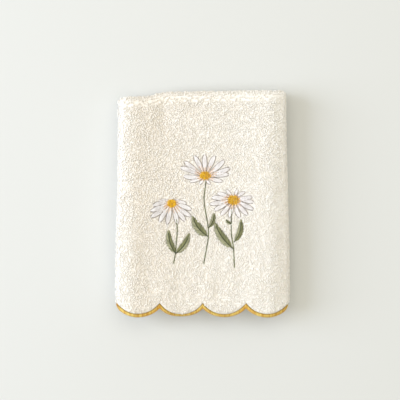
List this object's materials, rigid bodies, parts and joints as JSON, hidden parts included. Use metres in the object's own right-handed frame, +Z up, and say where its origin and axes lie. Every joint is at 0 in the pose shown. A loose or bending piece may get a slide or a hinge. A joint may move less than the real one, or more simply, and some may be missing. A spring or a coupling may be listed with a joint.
{
  "type": "folded face towel",
  "caption": "Cream terry face towel folded in three across and in four along, lying flat, with a scalloped hem edged in gold stitching.",
  "frame": {"origin": "middle of the folded towel's plan, at the surface that it rests on", "axes": "+X across the towel to its right side, +Y along it away from the scalloped hem, +Z up"},
  "size_m": [0.168, 0.2198, 0.0423],
  "materials": {
    "terry_cotton": "cream looped cotton pile, matt",
    "gold_thread": "golden yellow embroidery thread in satin stitch, soft sheen"
  },
  "bodies": {
    "root": {"towel_cloth": "terry_cotton", "scallop_binding": "gold_thread"}
  },
  "joints": []
}
